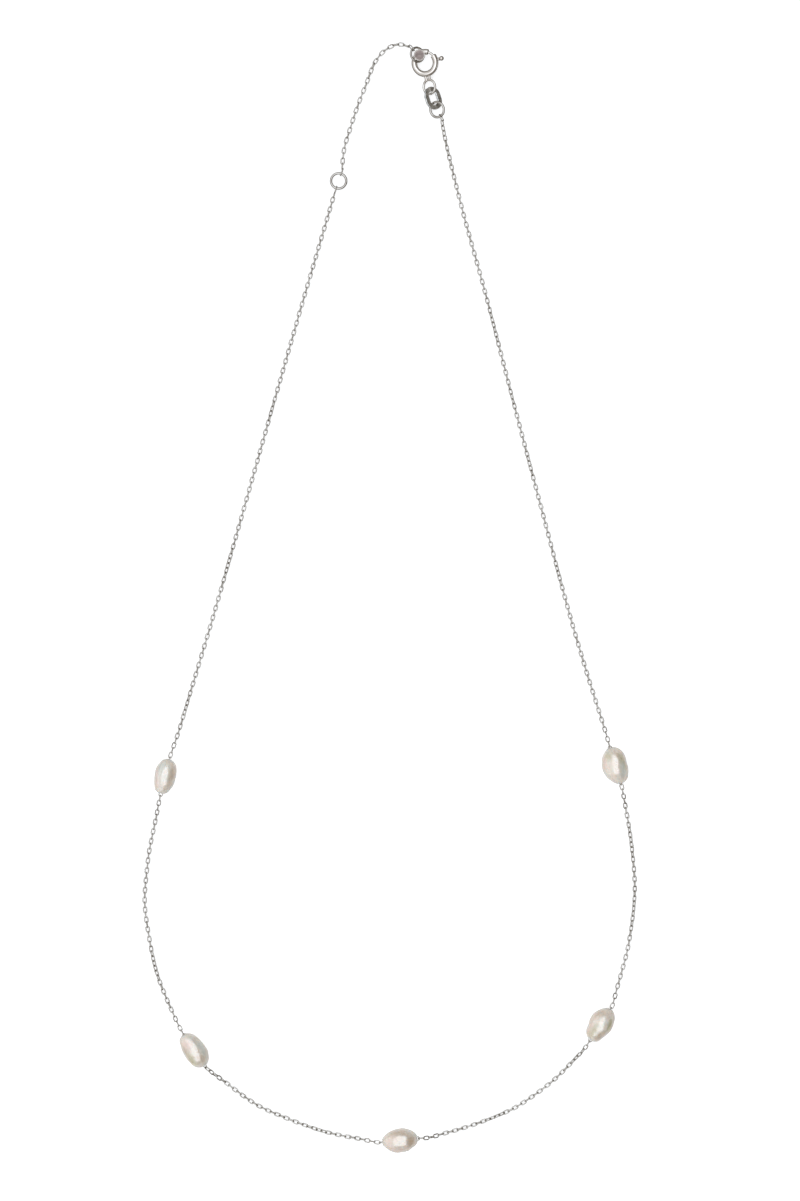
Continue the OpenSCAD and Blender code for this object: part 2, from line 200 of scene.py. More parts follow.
def long_route():
    """The long chain's path, from the adjuster ring through the five pearls to the jump ring."""
    tail = SEAT_LEFT[0][:2] + unit(SEAT_LEFT[1][:2]) * STRAIGHT_TAIL
    starts = [tail] + [pearl_tip(i, PEARL_ENDS[i][1]) for i in range(5)]
    stops = [pearl_tip(i, PEARL_ENDS[i][0]) for i in range(5)] + [SEAT_RIGHT[0][:2]]
    points = [SEAT_LEFT[0][:2]]
    for start, between, stop in zip(starts, ROUTES, stops):
        points += smooth_curve([start] + between + [stop])
    return Route(points)


# Meshes
def new_piece(name, vertices, faces):
    """A smooth-shaded object from points in millimetres and faces."""
    mesh = bpy.data.meshes.new(name)
    mesh.from_pydata((np.asarray(vertices) * MM).tolist(), [], [list(f) for f in faces])
    mesh.validate()
    mesh.polygons.foreach_set("use_smooth", [True] * len(mesh.polygons))
    piece = bpy.data.objects.new(name, mesh)
    bpy.context.scene.collection.objects.link(piece)
    return piece


def grid_faces(rows, columns, wrap_rows):
    """Quads over closed rows of points, and from the last row to the first if wrap_rows."""
    faces = []
    for i in range(rows if wrap_rows else rows - 1):
        for k in range(columns):
            a, b = i * columns, (i + 1) % rows * columns
            faces.append((a + k, b + k, b + (k + 1) % columns, a + (k + 1) % columns))
    return faces


def closed_ends(rows, sides, faces):
    """Faces with one more at each end of the rows."""
    return faces + [tuple(range(sides)), tuple(reversed(range(len(rows) - sides, len(rows))))]


def joined(pieces):
    """Points and faces of several closed forms as one mesh's."""
    points, faces, count = [], [], 0
    for some, theirs in pieces:
        points += [list(q) for q in some]
        faces += [tuple(k + count for k in f) for f in theirs]
        count += len(some)
    return np.array(points), faces


def wire_link(w, l, wire, bends=10, sides=10):
    """Points and faces of one link, along X and flat in the XY plane."""
    r, straight = (w - wire) / 2, l - w
    middles, outs = [], []
    for end in (1, -1):
        for j in range(bends + 1):
            a = -math.pi / 2 + math.pi * j / bends + (0 if end == 1 else math.pi)
            out = np.array([math.cos(a), math.sin(a), 0])
            middles.append(np.array([end * straight / 2, 0, 0]) + r * out)
            outs.append(out)
    rows = []
    for m, out in zip(middles, outs):
        for k in range(sides):
            a = TURN * (k + 0.5) / sides
            rows.append(m + wire / 2 * (math.cos(a) * out + math.sin(a) * np.array([0, 0, 1])))
    return np.array(rows), grid_faces(len(middles), sides, True)


def placed(points, at, along, roll):
    """Points of a link moved to a place, turned to a direction and rolled about it. Roll 0 lies flat."""
    x = unit(along)
    side = unit(np.cross([0, 0, 1], x))
    up = np.cross(x, side)
    c, s = math.cos(roll), math.sin(roll)
    across = c * side + s * up
    over = c * up - s * side
    return at + np.outer(points[:, 0], x) + np.outer(points[:, 1], across) + np.outer(points[:, 2], over)


def link_rest(roll):
    """Height of the chain's middle where it lies, from how its links are rolled."""
    return (LINK_W - LINK_WIRE) / 2 * max(abs(math.sin(roll)), abs(math.cos(roll))) + LINK_WIRE / 2


def seat_roll(s):
    """The roll of an end link, which stands square to its ring's wire."""
    a = math.atan2(s[1][1], s[1][0])
    return math.atan2(s[2][0] * math.sin(a) - s[2][1] * math.cos(a), s[2][2])


class Links:
    """A run of chain links gathered into one mesh."""

    def __init__(self):
        self.vertices, self.faces, self.count = [], [], 0

    def add(self, shape, at, along, roll):
        """Adds one link of a shape from wire_link."""
        points, faces = shape
        self.vertices.append(placed(points, at, along, roll))
        self.faces += [tuple(k + self.count for k in f) for f in faces]
        self.count += len(points)

    def piece(self, name, node):
        """The finished run of links, which stands for a CAD node."""
        made = new_piece(name, np.concatenate(self.vertices), self.faces)
        return dressed(made, "chain_silver", node)


def dressed(piece, slot, *nodes):
    """Gives a piece its finish and its body, and lets it stand for its CAD nodes."""
    if not piece.data.materials:
        piece.data.materials.append(FINISHES[slot])
    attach(piece, BODY)
    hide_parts(*nodes)
    return piece


# Finishes
class Level:
    """One output of a shader node. Arithmetic on it adds Math nodes."""

    def __init__(self, nodes, socket):
        self.nodes, self.socket = nodes, socket

    def maths(self, operation, *values):
        """Adds a Math node."""
        return self.nodes.add("ShaderNodeMath", {"operation": operation}, dict(enumerate(values)))

    def __add__(self, other):
        return self.maths("ADD", self, other)

    def __sub__(self, other):
        return self.maths("SUBTRACT", self, other)

    def __rsub__(self, other):
        return self.maths("SUBTRACT", other, self)

    def __mul__(self, other):
        return self.maths("MULTIPLY", self, other)

    def __abs__(self):
        return self.maths("ABSOLUTE", self)

    __radd__ = __add__

    def between(self, low, high, start=0.0, end=1.0):
        """Runs smoothly from start to end while this level runs from low to high."""
        values = {"Value": self, "From Min": low, "From Max": high, "To Min": start, "To Max": end}
        return self.nodes.add("ShaderNodeMapRange", {"interpolation_type": "SMOOTHSTEP"}, values)

    def blend(self, first, second):
        """The first colour where this level is 0, and the second where it is 1."""
        values = {0: self, 6: first, 7: second}
        return self.nodes.add("ShaderNodeMix", {"data_type": "RGBA"}, values, output=2)


class Nodes:
    """The shader nodes of one material, or of the studio round the necklace."""

    def __init__(self, tree):
        self.tree = tree
        tree.nodes.clear()

    def add(self, kind, settings=None, sockets=None, output=0):
        """Adds a node, sets it up, gives its sockets values or links, and returns one of its outputs."""
        made = self.tree.nodes.new(kind)
        for name, value in (settings or {}).items():
            setattr(made, name, value)
        for name, value in (sockets or {}).items():
            socket = made.inputs[name]
            if isinstance(value, Level):
                self.tree.links.new(value.socket, socket)
            elif socket.type == "RGBA":
                socket.default_value = (*value, 1)
            else:
                socket.default_value = value
        return Level(self, made.outputs[output]) if len(made.outputs) else None

    def cloud(self, size, detail=2.0, rough=0.5, seed=0.0, stretch=1.0):
        """Soft noise round 0.5, in lumps of about size millimetres, drawn out along X by stretch."""
        where = self.add("ShaderNodeTexCoord", output="Object")
        values = {0: where, 1: (1 / stretch, 1, 1), 2: (seed, seed * 0.37, 0)}
        moved = self.add("ShaderNodeVectorMath", {"operation": "MULTIPLY_ADD"}, values)
        values = {"Vector": moved, "Scale": 1 / (size * MM), "Detail": detail, "Roughness": rough}
        return self.add("ShaderNodeTexNoise", None, values)

    def spot(self, place, long, wide):
        """1 at a place, and 0 from about long millimetres along X and wide millimetres across."""
        where = self.add("ShaderNodeTexCoord", output="Object")
        share = np.array([1 / long, 1 / wide, 1 / wide]) / MM
        scaled = self.add("ShaderNodeVectorMath", {"operation": "MULTIPLY"}, {0: where, 1: tuple(share)})
        values = {0: scaled, 1: tuple(np.array(place) * MM * share)}
        gap = self.add("ShaderNodeVectorMath", {"operation": "DISTANCE"}, values, output=1)
        ragged = gap + (self.cloud(0.7, 3, 0.55, place[0]) - 0.5) * 0.9
        return ragged.between(0.15, 1, 1, 0)

    def bump(self, height, strength, deep):
        """A normal from a height, which raises the surface by at most deep millimetres."""
        values = {"Strength": strength, "Distance": deep * MM, "Height": height}
        return self.add("ShaderNodeBump", None, values)


def finish(name, fixed, varied):
    """A material: fixed holds plain values of its shader's sockets, varied() works out those that change."""
    made = bpy.data.materials.new(name)
    made.use_nodes = True
    nodes = Nodes(made.node_tree)
    surface = nodes.add("ShaderNodeBsdfPrincipled", None, {**fixed, **varied(nodes)})
    nodes.add("ShaderNodeOutputMaterial", None, {"Surface": surface})
    return made


def silver(name, bright, dull, roughness, dents, wave=0.45, patch=1.6, stretch=1.0):
    """Plated silver: clouded tone, a faint haze of handling and the unevenness of drawn or stamped metal."""
    def varied(nodes):
        tone = nodes.cloud(patch, 3, 0.6, 0.01, stretch).between(0.35, 0.65)
        haze = nodes.cloud(0.5, 4, 0.6, 0.02).between(0.4, 0.75)
        waves = nodes.cloud(wave, 2, 0.5, 0.03)
        return {
            "Base Color": tone.blend(dull, bright),
            "Roughness": roughness + haze * 0.10,
            "Normal": nodes.bump(waves, dents, 0.06),
        }
    return finish(name, {"Metallic": 1.0, "Specular Tint": (0.30, 0.29, 0.28)}, varied)


def nacre(i):
    """Mother-of-pearl: a pale, faintly translucent body with patches of colour, some of them partly painted
    shade, and a painted pale rim where the surface turns from the view, under a bright lustre.
    """
    pale, warm = (0.91, 0.845, 0.745), (0.89, 0.765, 0.66)
    # cool is a random greenish overtone; rim is the colour of the painted rim light along the pearl's outline
    cool, rim = (0.82, 0.82, 0.745), (0.93, 0.88, 0.80)

    def varied(nodes):
        seed = 0.2 * i
        facing = nodes.add("ShaderNodeLayerWeight", None, {"Blend": 0.5}, "Facing")
        warmth = nodes.cloud(1.3, 2, 0.5, seed).between(0.42, 0.62)
        coolness = nodes.cloud(1.0, 2, 0.5, seed + 0.05).between(0.52, 0.75)
        colour = (coolness * 0.7).blend(warmth.blend(pale, warm), cool)
        # Patches of colour; the long darker ones beside the highlight are partly painted shade
        for along, tilt, long, wide, tint, share in TINTS_AND_SHADE_BANDS[i]:
            colour = (nodes.spot(pearl_place(i, along, tilt), long, wide) * share).blend(colour, tint)
        lustre = nodes.cloud(0.8, 3, 0.5, seed + 0.17, 2.5).between(0.3, 0.7, 0.04, 0.20)
        ripples = nodes.cloud(0.42, 1.2, 0.5, seed + 0.09, 2.5)
        return {
            # Painted rim light: towards the outline, where the surface turns from the view, the body colour
            # pales to rim
            "Base Color": (facing.between(0.3, 0.8) * 0.8).blend(colour, rim),
            "Metallic": facing.between(0.25, 0.75, 1, 0) * lustre,
            "Roughness": nodes.cloud(0.8, 3, 0.5, seed + 0.13, 2.0).between(0.35, 0.7, 0.18, 0.36),
            "Normal": nodes.bump(ripples, 0.5, 0.05),
        }
    fixed = {"IOR": 1.6, "Coat Weight": 1.0, "Coat Roughness": 0.09, "Coat IOR": 2.1,
             "Subsurface Weight": 0.7, "Subsurface Radius": (1, 0.85, 0.7), "Subsurface Scale": MM,
             "Sheen Weight": 0.3, "Sheen Roughness": 0.4, "Sheen Tint": (0.98, 0.95, 0.93)}
    return finish(f"nacre_{i + 1}", fixed, varied)


# Patches of colour on each pearl: share of its half length, degrees from its top towards its left, length and
# width in millimetres, colour and strength. The long patches 0.9 to 1.2 millimetres wide that lie 36 to 50
# degrees from the top towards the right on pearls 1, 2, 4 and 5, and the sand patch near the end of pearl 3
# that its turn points to, are partly overtone colour and partly painted shade: the darker band beside the
# highlight.
PINK, SAND, OLIVE, GREY = (0.90, 0.73, 0.64), (0.62, 0.49, 0.36), (0.60, 0.55, 0.37), (0.72, 0.735, 0.67)
TINTS_AND_SHADE_BANDS = [
    [(-0.4, 50, 2.8, 1.4, PINK, 1.0), (0.5, 30, 2.4, 1.3, GREY, 0.8), (0.1, -38, 3.6, 0.9, SAND, 0.6)],
    [(0.55, 12, 2.0, 1.3, PINK, 1.0), (0.15, 42, 2.4, 1.0, SAND, 0.8), (-0.4, 38, 2.0, 1.0, OLIVE, 1.0),
     (-0.1, -50, 3.4, 1.2, GREY, 0.9), (-0.6, -15, 1.6, 1.2, SAND, 0.6)],
    [(0.0, 0, 4.5, 3.5, PINK, 0.2), (0.62, -5, 1.3, 1.8, SAND, 1.0), (-0.1, 46, 2.8, 1.2, SAND, 0.6),
     (-0.2, -50, 3.0, 1.3, PINK, 1.0), (-0.7, 0, 1.9, 1.8, PINK, 0.8)],
    [(-0.55, 25, 2.2, 1.4, OLIVE, 0.8), (0.35, -42, 2.8, 1.0, OLIVE, 1.0), (-0.3, 60, 2.6, 1.4, PINK, 1.0),
     (-0.6, -30, 1.8, 1.2, SAND, 0.8), (0.5, 40, 1.8, 1.2, SAND, 0.5)],
    [(0.4, 55, 2.4, 1.2, PINK, 0.9), (0.1, -36, 3.8, 1.0, OLIVE, 0.9), (-0.4, -30, 2.4, 1.0, GREY, 1.0),
     (0.65, 25, 1.6, 1.2, OLIVE, 0.8)],
]


def pearl_place(i, along, tilt):
    """A place on a pearl, from a share of its half length and degrees from its top towards its left."""
    half_w = PEARL_W[i] / 2 * math.sqrt(1 - 0.8 * along * along)
    a = math.radians(tilt)
    return [along * PEARL_L[i] / 2, half_w * math.sin(a), half_w * PEARL_ROUND * math.cos(a)]


FINISHES = {
    # The chain's silver is darker than the clasp's: partly the plating's own tone, partly painted shade for
    # the shadow the links cast on each other
    "chain_silver": silver("bright_chain_silver", (0.67, 0.64, 0.59), (0.52, 0.485, 0.435), 0.14, 0.3),
    "ring_silver": silver("polished_ring_silver", (0.63, 0.595, 0.55), (0.47, 0.435, 0.395), 0.09, 0.3),
    "clasp_silver": silver("polished_clasp_silver", (0.84, 0.80, 0.75), (0.70, 0.64, 0.585), 0.06, 0.15),
}
NACRES = [nacre(i) for i in range(5)]
TAG_FINISH = silver("stamped_tag_silver", (0.93, 0.925, 0.90), (0.48, 0.475, 0.455), 0.2, 0.7,
                    wave=0.35, patch=0.4, stretch=2.0)
MATTED = silver("matted_plate_silver", (0.38, 0.315, 0.29), (0.24, 0.195, 0.18), 0.3, 0.3,
                wave=0.5, patch=0.5, stretch=2.0)

# The chains
rng = random.Random(45)
ROLL_SPREAD, TURN_SPREAD = 0.10, 0.02
link_shape = wire_link(LINK_W, LINK_PITCH + 2 * LINK_WIRE, LINK_WIRE)
short_shape = wire_link(LINK_W, SHORT_PITCH + 2 * LINK_WIRE, LINK_WIRE)
end_shape = wire_link(END_LINK_W, END_LINK_L, LINK_WIRE)
# Each chain's twist in degrees at shares of its length. Every other link lies flat at 0, 90 and 180.
LONG_TWISTS = [
    (0, 0), (0.09, 0), (0.11, 90), (0.155, 90), (0.185, 180), (0.22, 180), (0.245, 90), (0.335, 90),
    (0.36, 0), (0.385, 0), (0.40, 45), (0.415, 90), (0.435, 90), (0.465, 0), (0.52, 0), (0.55, 90),
    (0.565, 90), (0.585, 0), (0.63, 0), (0.65, 45), (0.66, 0), (0.69, 90), (0.785, 90), (0.81, 180),
    (0.835, 180), (0.855, 90), (0.865, 90), (0.885, 0), (0.895, 0), (0.925, 90), (0.965, 90), (1, 45),
]
SHORT_TWISTS = [(0, 0), (0.3, 10), (0.7, 0), (1, 0)]


def lay_links(route, first_seat, last_seat, pitch, shape, twists, run_at):
    """Lays links evenly along a route between two rings. run_at(s) is the run that gets the link at s."""
    extra = (END_LINK_L - pitch - 2 * LINK_WIRE) / 2
    count = round((route.length - 2 * extra) / pitch)
    step = (route.length - 2 * extra) / count
    for i in range(count + 1):
        s = {0: 0.0, count: route.length}.get(i, extra + i * step)
        twist = math.radians(float(np.interp(s / route.length, *zip(*twists))))
        roll = twist + math.pi / 2 * (i % 2) + rng.gauss(0, ROLL_SPREAD)
        rest = link_rest(twist)
        places = (min(max(s + d, 0), route.length) for d in (0, -step / 2, step / 2))
        centre, before, after = (route.at(place) for place in places)
        at = np.array([*centre, chain_height(centre, rest)])
        along = np.array([*(after - before), chain_height(after, rest) - chain_height(before, rest)])
        if i == 0:
            at, along, roll, form = first_seat[0], first_seat[1], seat_roll(first_seat), end_shape
        elif i == count:
            at, along, roll, form = last_seat[0], -last_seat[1], -seat_roll(last_seat), end_shape
        else:
            form = shape
            along = along + np.array([rng.gauss(0, TURN_SPREAD), rng.gauss(0, TURN_SPREAD), 0]) * step
        run_at(s).add(form, at, along, roll)


long_way = long_route()
middle = long_way.nearest(PEARL_AT[2])
short_way = Route(smooth_curve([SEAT_TOP[0][:2]] + ROUTE_SHORT + [SEAT_LOW[0][:2]]))
left_links, right_links, short_links = Links(), Links(), Links()
lay_links(long_way, SEAT_LEFT, SEAT_RIGHT, LINK_PITCH, link_shape, LONG_TWISTS,
          lambda s: left_links if s < middle else right_links)
lay_links(short_way, SEAT_TOP, SEAT_LOW, SHORT_PITCH, short_shape, SHORT_TWISTS, lambda s: short_links)
left_links.piece("left_links", "chain_left")
right_links.piece("right_links", "chain_right")
short_links.piece("short_links", "chain_short")


# The pearls
HOLE_R = 0.46
# How far a pearl would reach if its drill hole didn't cut its ends off, as a share of its half length
END_REACH = 1.02
PEARL_ROWS, PEARL_COLUMNS, BORE_ROWS = 150, 120, 12
# The unevenness of every pearl: lumps for each millimetre, and their height in millimetres
LUMPS = [(0.55, 0.03), (1.3, 0.026), (2.9, 0.006)]


def cubic(xs, ys, x):
    """A smooth value through a short table."""
    last = len(xs) - 1
    i = min(max(int(np.searchsorted(xs, x)) - 1, 0), last - 1)
    slopes = []
    for j in (i, i + 1):
        before, after = max(j - 1, 0), min(j + 1, last)
        slopes.append((ys[after] - ys[before]) / (xs[after] - xs[before]))
    h = xs[i + 1] - xs[i]
    t = min(max((x - xs[i]) / h, 0.0), 1.0)
    return (ys[i] * (1 + 2 * t) * (1 - t) ** 2 + slopes[0] * h * t * (1 - t) ** 2
            + ys[i + 1] * t * t * (3 - 2 * t) + slopes[1] * h * t * t * (t - 1))


# Low forms of each pearl: share of its half length, degrees round it with 90 on top, and length, width and
# height in millimetres. The last ones of each are fine creases and specks.
DENTS = [
    [(0.05, 80, 0.8, 0.8, -0.05), (-0.45, 60, 1.0, 1.0, 0.05), (0.35, 110, 1.2, 1.2, 0.04),
     (-0.20, 92, 0.30, 0.30, -0.030), (-0.28, 85, 0.16, 0.16, 0.020), (0.15, 76, 0.9, 0.18, 0.020)],
    [(0.2, 60, 1.0, 1.0, 0.06), (-0.3, 110, 0.9, 0.9, -0.05), (0.6, 90, 0.7, 0.7, 0.04),
     (-0.02, 88, 0.14, 0.8, -0.022), (-0.12, 86, 0.13, 0.8, 0.018), (-0.24, 84, 0.14, 0.7, -0.018)],
    [(0.1, 90, 0.5, 0.5, -0.04), (-0.25, 95, 1.0, 1.0, 0.05), (0.40, 80, 0.7, 0.9, 0.05),
     (0.04, 90, 0.20, 0.8, -0.024), (0.52, 90, 0.24, 1.4, -0.040), (-0.16, 108, 0.5, 0.4, -0.055)],
    [(0.3, 100, 1.0, 1.0, 0.06), (-0.35, 70, 1.0, 1.0, 0.05), (0.0, 120, 0.6, 0.6, -0.05),
     (-0.68, 96, 0.28, 0.28, 0.060), (0.05, 86, 0.5, 0.16, 0.022), (-0.12, 94, 0.18, 0.5, -0.022)],
    [(0.0, 70, 1.2, 1.2, 0.06), (-0.5, 100, 0.8, 0.8, 0.05), (0.4, 120, 0.7, 0.7, -0.05),
     (0.10, 90, 0.22, 0.22, -0.022), (-0.05, 84, 0.30, 0.16, 0.020), (-0.22, 90, 0.18, 0.30, -0.020)],
]


def pearl_skin(i):
    """Rows of points round a pearl, from one end of its drill hole to the other."""
    half_l, half_w = PEARL_L[i] / 2, PEARL_W[i] / 2
    swell = [[v / math.sqrt(1 - (at / END_REACH) ** 2) for at, v in zip(SECTION_AT, side)]
             for side in zip(*SECTIONS[i])]
    end = math.asin(HOLE_R / half_w / max(swell[0][0], swell[1][0]))
    rows = []
    for j in range(PEARL_ROWS):
        a = end + (math.pi - 2 * end) * j / (PEARL_ROWS - 1)
        share = -math.cos(a) * END_REACH
        left, right = (cubic(SECTION_AT, side, share) * math.sin(a) * half_w for side in swell)
        high = (left + right) / 2 * PEARL_ROUND
        row = []
        for k in range(PEARL_COLUMNS):
            b = TURN * k / PEARL_COLUMNS
            wide = left if math.sin(b) > 0 else right
            row.append([share * half_l, wide * math.sin(b), high * math.cos(b)])
        rows.append(row)
    return np.array(rows)


def pearl_lift(i, rows):
    """How far each point of a pearl's skin is pushed out or in by its unevenness and its low forms."""
    lift = np.zeros(rows.shape[:2])
    # Each pearl takes its unevenness from another part of the noise
    start = Vector((11.3 * i, 4.7, 2.9))
    for j in range(PEARL_ROWS):
        for k in range(PEARL_COLUMNS):
            place = Vector(rows[j, k]) + start
            lift[j, k] = sum(high * noise.noise(place * lumps) for lumps, high in LUMPS)
    for share, degrees, long, wide, high in DENTS[i]:
        j = min(range(PEARL_ROWS), key=lambda n: abs(rows[n, 0, 0] - share * PEARL_L[i] / 2))
        k = round((degrees - 90) % 360 / 360 * PEARL_COLUMNS) % PEARL_COLUMNS
        gap = (rows - rows[j, k]) / (long, wide, wide)
        lift += high * np.exp(-(gap ** 2).sum(axis=2))
    return lift


def pearl(i):
    """A drilled baroque pearl, made along X in a frame of its own and turned to its place."""
    rows = pearl_skin(i)
    out = rows - rows.mean(axis=1, keepdims=True)
    out /= np.linalg.norm(out, axis=2, keepdims=True)
    calm = np.sin(np.linspace(0, math.pi, PEARL_ROWS))[:, None]
    rows = rows + out * (pearl_lift(i, rows) * calm)[:, :, None]
    first, last = (rows[end].mean(axis=0)[0] for end in (0, -1))
    hole = [(HOLE_R * math.sin(TURN * k / PEARL_COLUMNS), HOLE_R * math.cos(TURN * k / PEARL_COLUMNS))
            for k in range(PEARL_COLUMNS)]
    steps = [last + (first - last) * j / BORE_ROWS for j in range(1, BORE_ROWS)]
    rows = np.concatenate([rows, np.array([[(x, y, z) for y, z in hole] for x in steps])])
    faces = grid_faces(len(rows), PEARL_COLUMNS, True)
    made = new_piece(f"baroque_pearl_{i + 1}", rows.reshape(-1, 3), faces)
    made.location = Vector((*PEARL_AT[i], pearl_height(i))) * MM
    made.rotation_euler.z = math.radians(PEARL_TURN[i])
    made.data.materials.append(NACRES[i])
    return dressed(made, "pearl", f"pearl_{i + 1}")


for i in range(5):
    pearl(i)

# The tag link: its middle, slope and turn, its outline, the width of its sides and ends, and its thickness
TAG = dict(at=(7.62, 87.45, 1.0), slope=(195, 29), turn=18, w=3.25, l=4.1, side=0.91, end=0.85, thick=0.36)
# How square the tag link's bar is: 2 is an ellipse
TAG_SQUARE = 3.2
TAG_ROUNDS, TAG_SIDES = 120, 28


def tipped(points, at, slope, turn=0):
    """Points in a flat piece's own plane, turned in it, tipped with it and moved to its place."""
    direction = math.radians(slope[0])
    tip = Matrix.Rotation(math.radians(slope[1]), 3, Vector((math.sin(direction), -math.cos(direction), 0)))
    both = np.array(tip @ Matrix.Rotation(math.radians(turn), 3, "Z"))
    return np.array(at) + np.asarray(points) @ both.T


def oval(w, l, a):
    """The point at angle a round an outline with two straight sides along Y and round ends."""
    return np.array([w / 2 * math.cos(a), w / 2 * math.sin(a) + math.copysign((l - w) / 2, math.sin(a))])


def power(value, exponent):
    """A power that keeps its value's sign."""
    return math.copysign(abs(value) ** exponent, value)


def tag_link():
    """A flat oval link whose bar is soft at its edges and a little domed."""
    rows = []
    for j in range(TAG_ROUNDS):
        a = TURN * (j + 0.5) / TAG_ROUNDS
        outer = oval(TAG["w"], TAG["l"], a)
        inner = oval(TAG["w"] - 2 * TAG["side"], TAG["l"] - 2 * TAG["end"], a)
        for k in range(TAG_SIDES):
            b = TURN * k / TAG_SIDES
            across = 0.5 + 0.5 * power(math.cos(b), 2 / TAG_SQUARE)
            high = TAG["thick"] / 2 * power(math.sin(b), 2 / TAG_SQUARE)
            rows.append([*(inner + across * (outer - inner)), high])
    points = tipped(rows, TAG["at"], TAG["slope"], TAG["turn"])
    made = new_piece("oval_tag_link", points, grid_faces(TAG_ROUNDS, TAG_SIDES, True))
    made.data.materials.append(TAG_FINISH)
    return dressed(made, "ring_silver", "tag_link")


# The clasp. Its angles are in degrees round its middle. Its pieces are made on its X axis and turned to them.
CLASP = dict(at=(6.2, 93.6, 1.17), slope=(19, 17))
TUBE_R, TUBE_D, BORE_D = 1.93, 1.0, 0.62
MOUTH_A, CATCH_A = 40, 72
SLOT_FROM, SLOT_TO, SLOT_W, SLOT_REACH = -27.4, 20.4, 0.5, 0.8
# The round plate's place and size, its dish and rim, its soft edge, the low dome of its dish and its caps
PLATE = dict(a=122, r=1.6, z=0.47, d=2.0, thick=0.3, dish=0.08, rim=0.13, soft=0.05, crown=0.02, pole=0.01)
EYELET = dict(a=-80, r=4.25, twist=20, d=2.86, wire=0.4)
# The legs: where they start and stop, how far each lies beside the eyelet's middle, and how their feet flare
LEG = dict(start=2.3, stop=3.1, spread=0.32, thick=0.19, start_flare=0.5, stop_flare=0.35, flare_run=0.12)
# The half width of the leg on each side of the eyelet
LEG_WIDE = {-1: 0.24, 1: 0.19}
END_RING_WIRE = 0.38
TUBE_ROUNDS, TUBE_SIDES, LIP_ROUNDS, SLOT_ROUNDS = 150, 48, 8, 30
PLATE_SIDES, EDGE_ROUNDS, SLOPE_ROUNDS, DISH_ROUNDS = 72, 5, 6, 12
RING_ROUNDS, RING_SIDES = 96, 24
LEG_ROUNDS, LEG_SIDES = 14, 20


def bent_rows(bend_r, stations, sides):
    """Rows of points round a wire bent about Z: each station has an angle in degrees and a radius."""
    rows = []
    for degrees, r in stations:
        a = math.radians(degrees)
        out = np.array([math.cos(a), math.sin(a), 0])
        for k in range(sides):
            b = TURN * k / sides
            rows.append(out * (bend_r + r * math.cos(b)) + np.array([0, 0, r * math.sin(b)]))
    return rows


def wire_ring(d, wire):
    """Points and faces of a closed ring of wire, flat in its own plane."""
    stations = [(360 * j / RING_ROUNDS, wire / 2) for j in range(RING_ROUNDS)]
    return bent_rows((d - wire) / 2, stations, RING_SIDES), grid_faces(RING_ROUNDS, RING_SIDES, True)


def on_clasp(points, degrees):
    """Points made on the clasp's X axis, turned to an angle round its middle."""
    return tipped(points, (0, 0, 0), (0, 0), degrees)


def tube_stations():
    """Round the tube's wall: along its skin, over a soft lip, back along its bore and over the other lip."""
    wall = (TUBE_D - BORE_D) / 4
    mid_r = (TUBE_D + BORE_D) / 4
    start, end = CATCH_A, 360 + MOUTH_A
    lip = math.degrees(wall / TUBE_R)
    run = end - start - 2 * lip
    skin = [(start + lip + run * j / TUBE_ROUNDS, TUBE_D / 2) for j in range(TUBE_ROUNDS + 1)]
    bore = [(a, BORE_D / 2) for a, r in reversed(skin)]
    arc = [math.pi * j / LIP_ROUNDS for j in range(1, LIP_ROUNDS)]
    far = [(end - lip + lip * math.sin(b), mid_r + wall * math.cos(b)) for b in arc]
    near = [(start + lip - lip * math.sin(b), mid_r - wall * math.cos(b)) for b in arc]
    return skin + far + bore + near


def slotted_tube():
    """Points and faces of the hollow tube, with the knob's slot cut through its outer wall."""
    stations = tube_stations()
    rows = bent_rows(TUBE_R, stations, TUBE_SIDES)
    hollow = new_piece("spring_ring", rows, grid_faces(len(stations), TUBE_SIDES, True))
    low, high, outside = -SLOT_W / 2, SLOT_W / 2, TUBE_R + SLOT_REACH
    corners = [(TUBE_R, low), (outside, low), (outside, high), (TUBE_R, high)]
    knife = []
    for degrees in np.linspace(SLOT_FROM, SLOT_TO, SLOT_ROUNDS):
        a = math.radians(degrees)
        knife += [[r * math.cos(a), r * math.sin(a), z] for r, z in corners]
    cutter = new_piece("slot_cutter", knife, closed_ends(knife, 4, grid_faces(SLOT_ROUNDS, 4, False)))
    cut = hollow.modifiers.new("slot", "BOOLEAN")
    cut.object, cut.solver = cutter, "EXACT"
    graph = bpy.context.evaluated_depsgraph_get()
    mesh = bpy.data.meshes.new_from_object(hollow.evaluated_get(graph))
    points = np.array([v.co for v in mesh.vertices]) / MM
    faces = [tuple(f.vertices) for f in mesh.polygons]
    for spare in (hollow, cutter):
        bpy.data.objects.remove(spare)
    return points, faces


def plate_profile():
    """The round plate from the middle of its back, over its raised rim, to the middle of its dish."""
    r, half, soft, dish = PLATE["d"] / 2, PLATE["thick"] / 2, PLATE["soft"], PLATE["dish"]
    inside, floor_z = r - PLATE["rim"], half - dish
    quarter = np.linspace(0, math.pi / 2, EDGE_ROUNDS)
    edge = [(r - soft + soft * math.sin(a), -half + soft - soft * math.cos(a)) for a in quarter]
    edge += [(r - soft + soft * math.cos(a), half - soft + soft * math.sin(a)) for a in quarter]
    falls = np.linspace(0, 1, SLOPE_ROUNDS)
    slope = [(inside + soft * (1 - s), floor_z + (half - floor_z) * fade(s)) for s in falls]
    shares = np.linspace(0.96, PLATE["pole"], DISH_ROUNDS)
    floor_line = [(inside * s, floor_z + PLATE["crown"] * (1 - s * s)) for s in shares]
    return [(PLATE["pole"], -half)] + edge + slope + floor_line


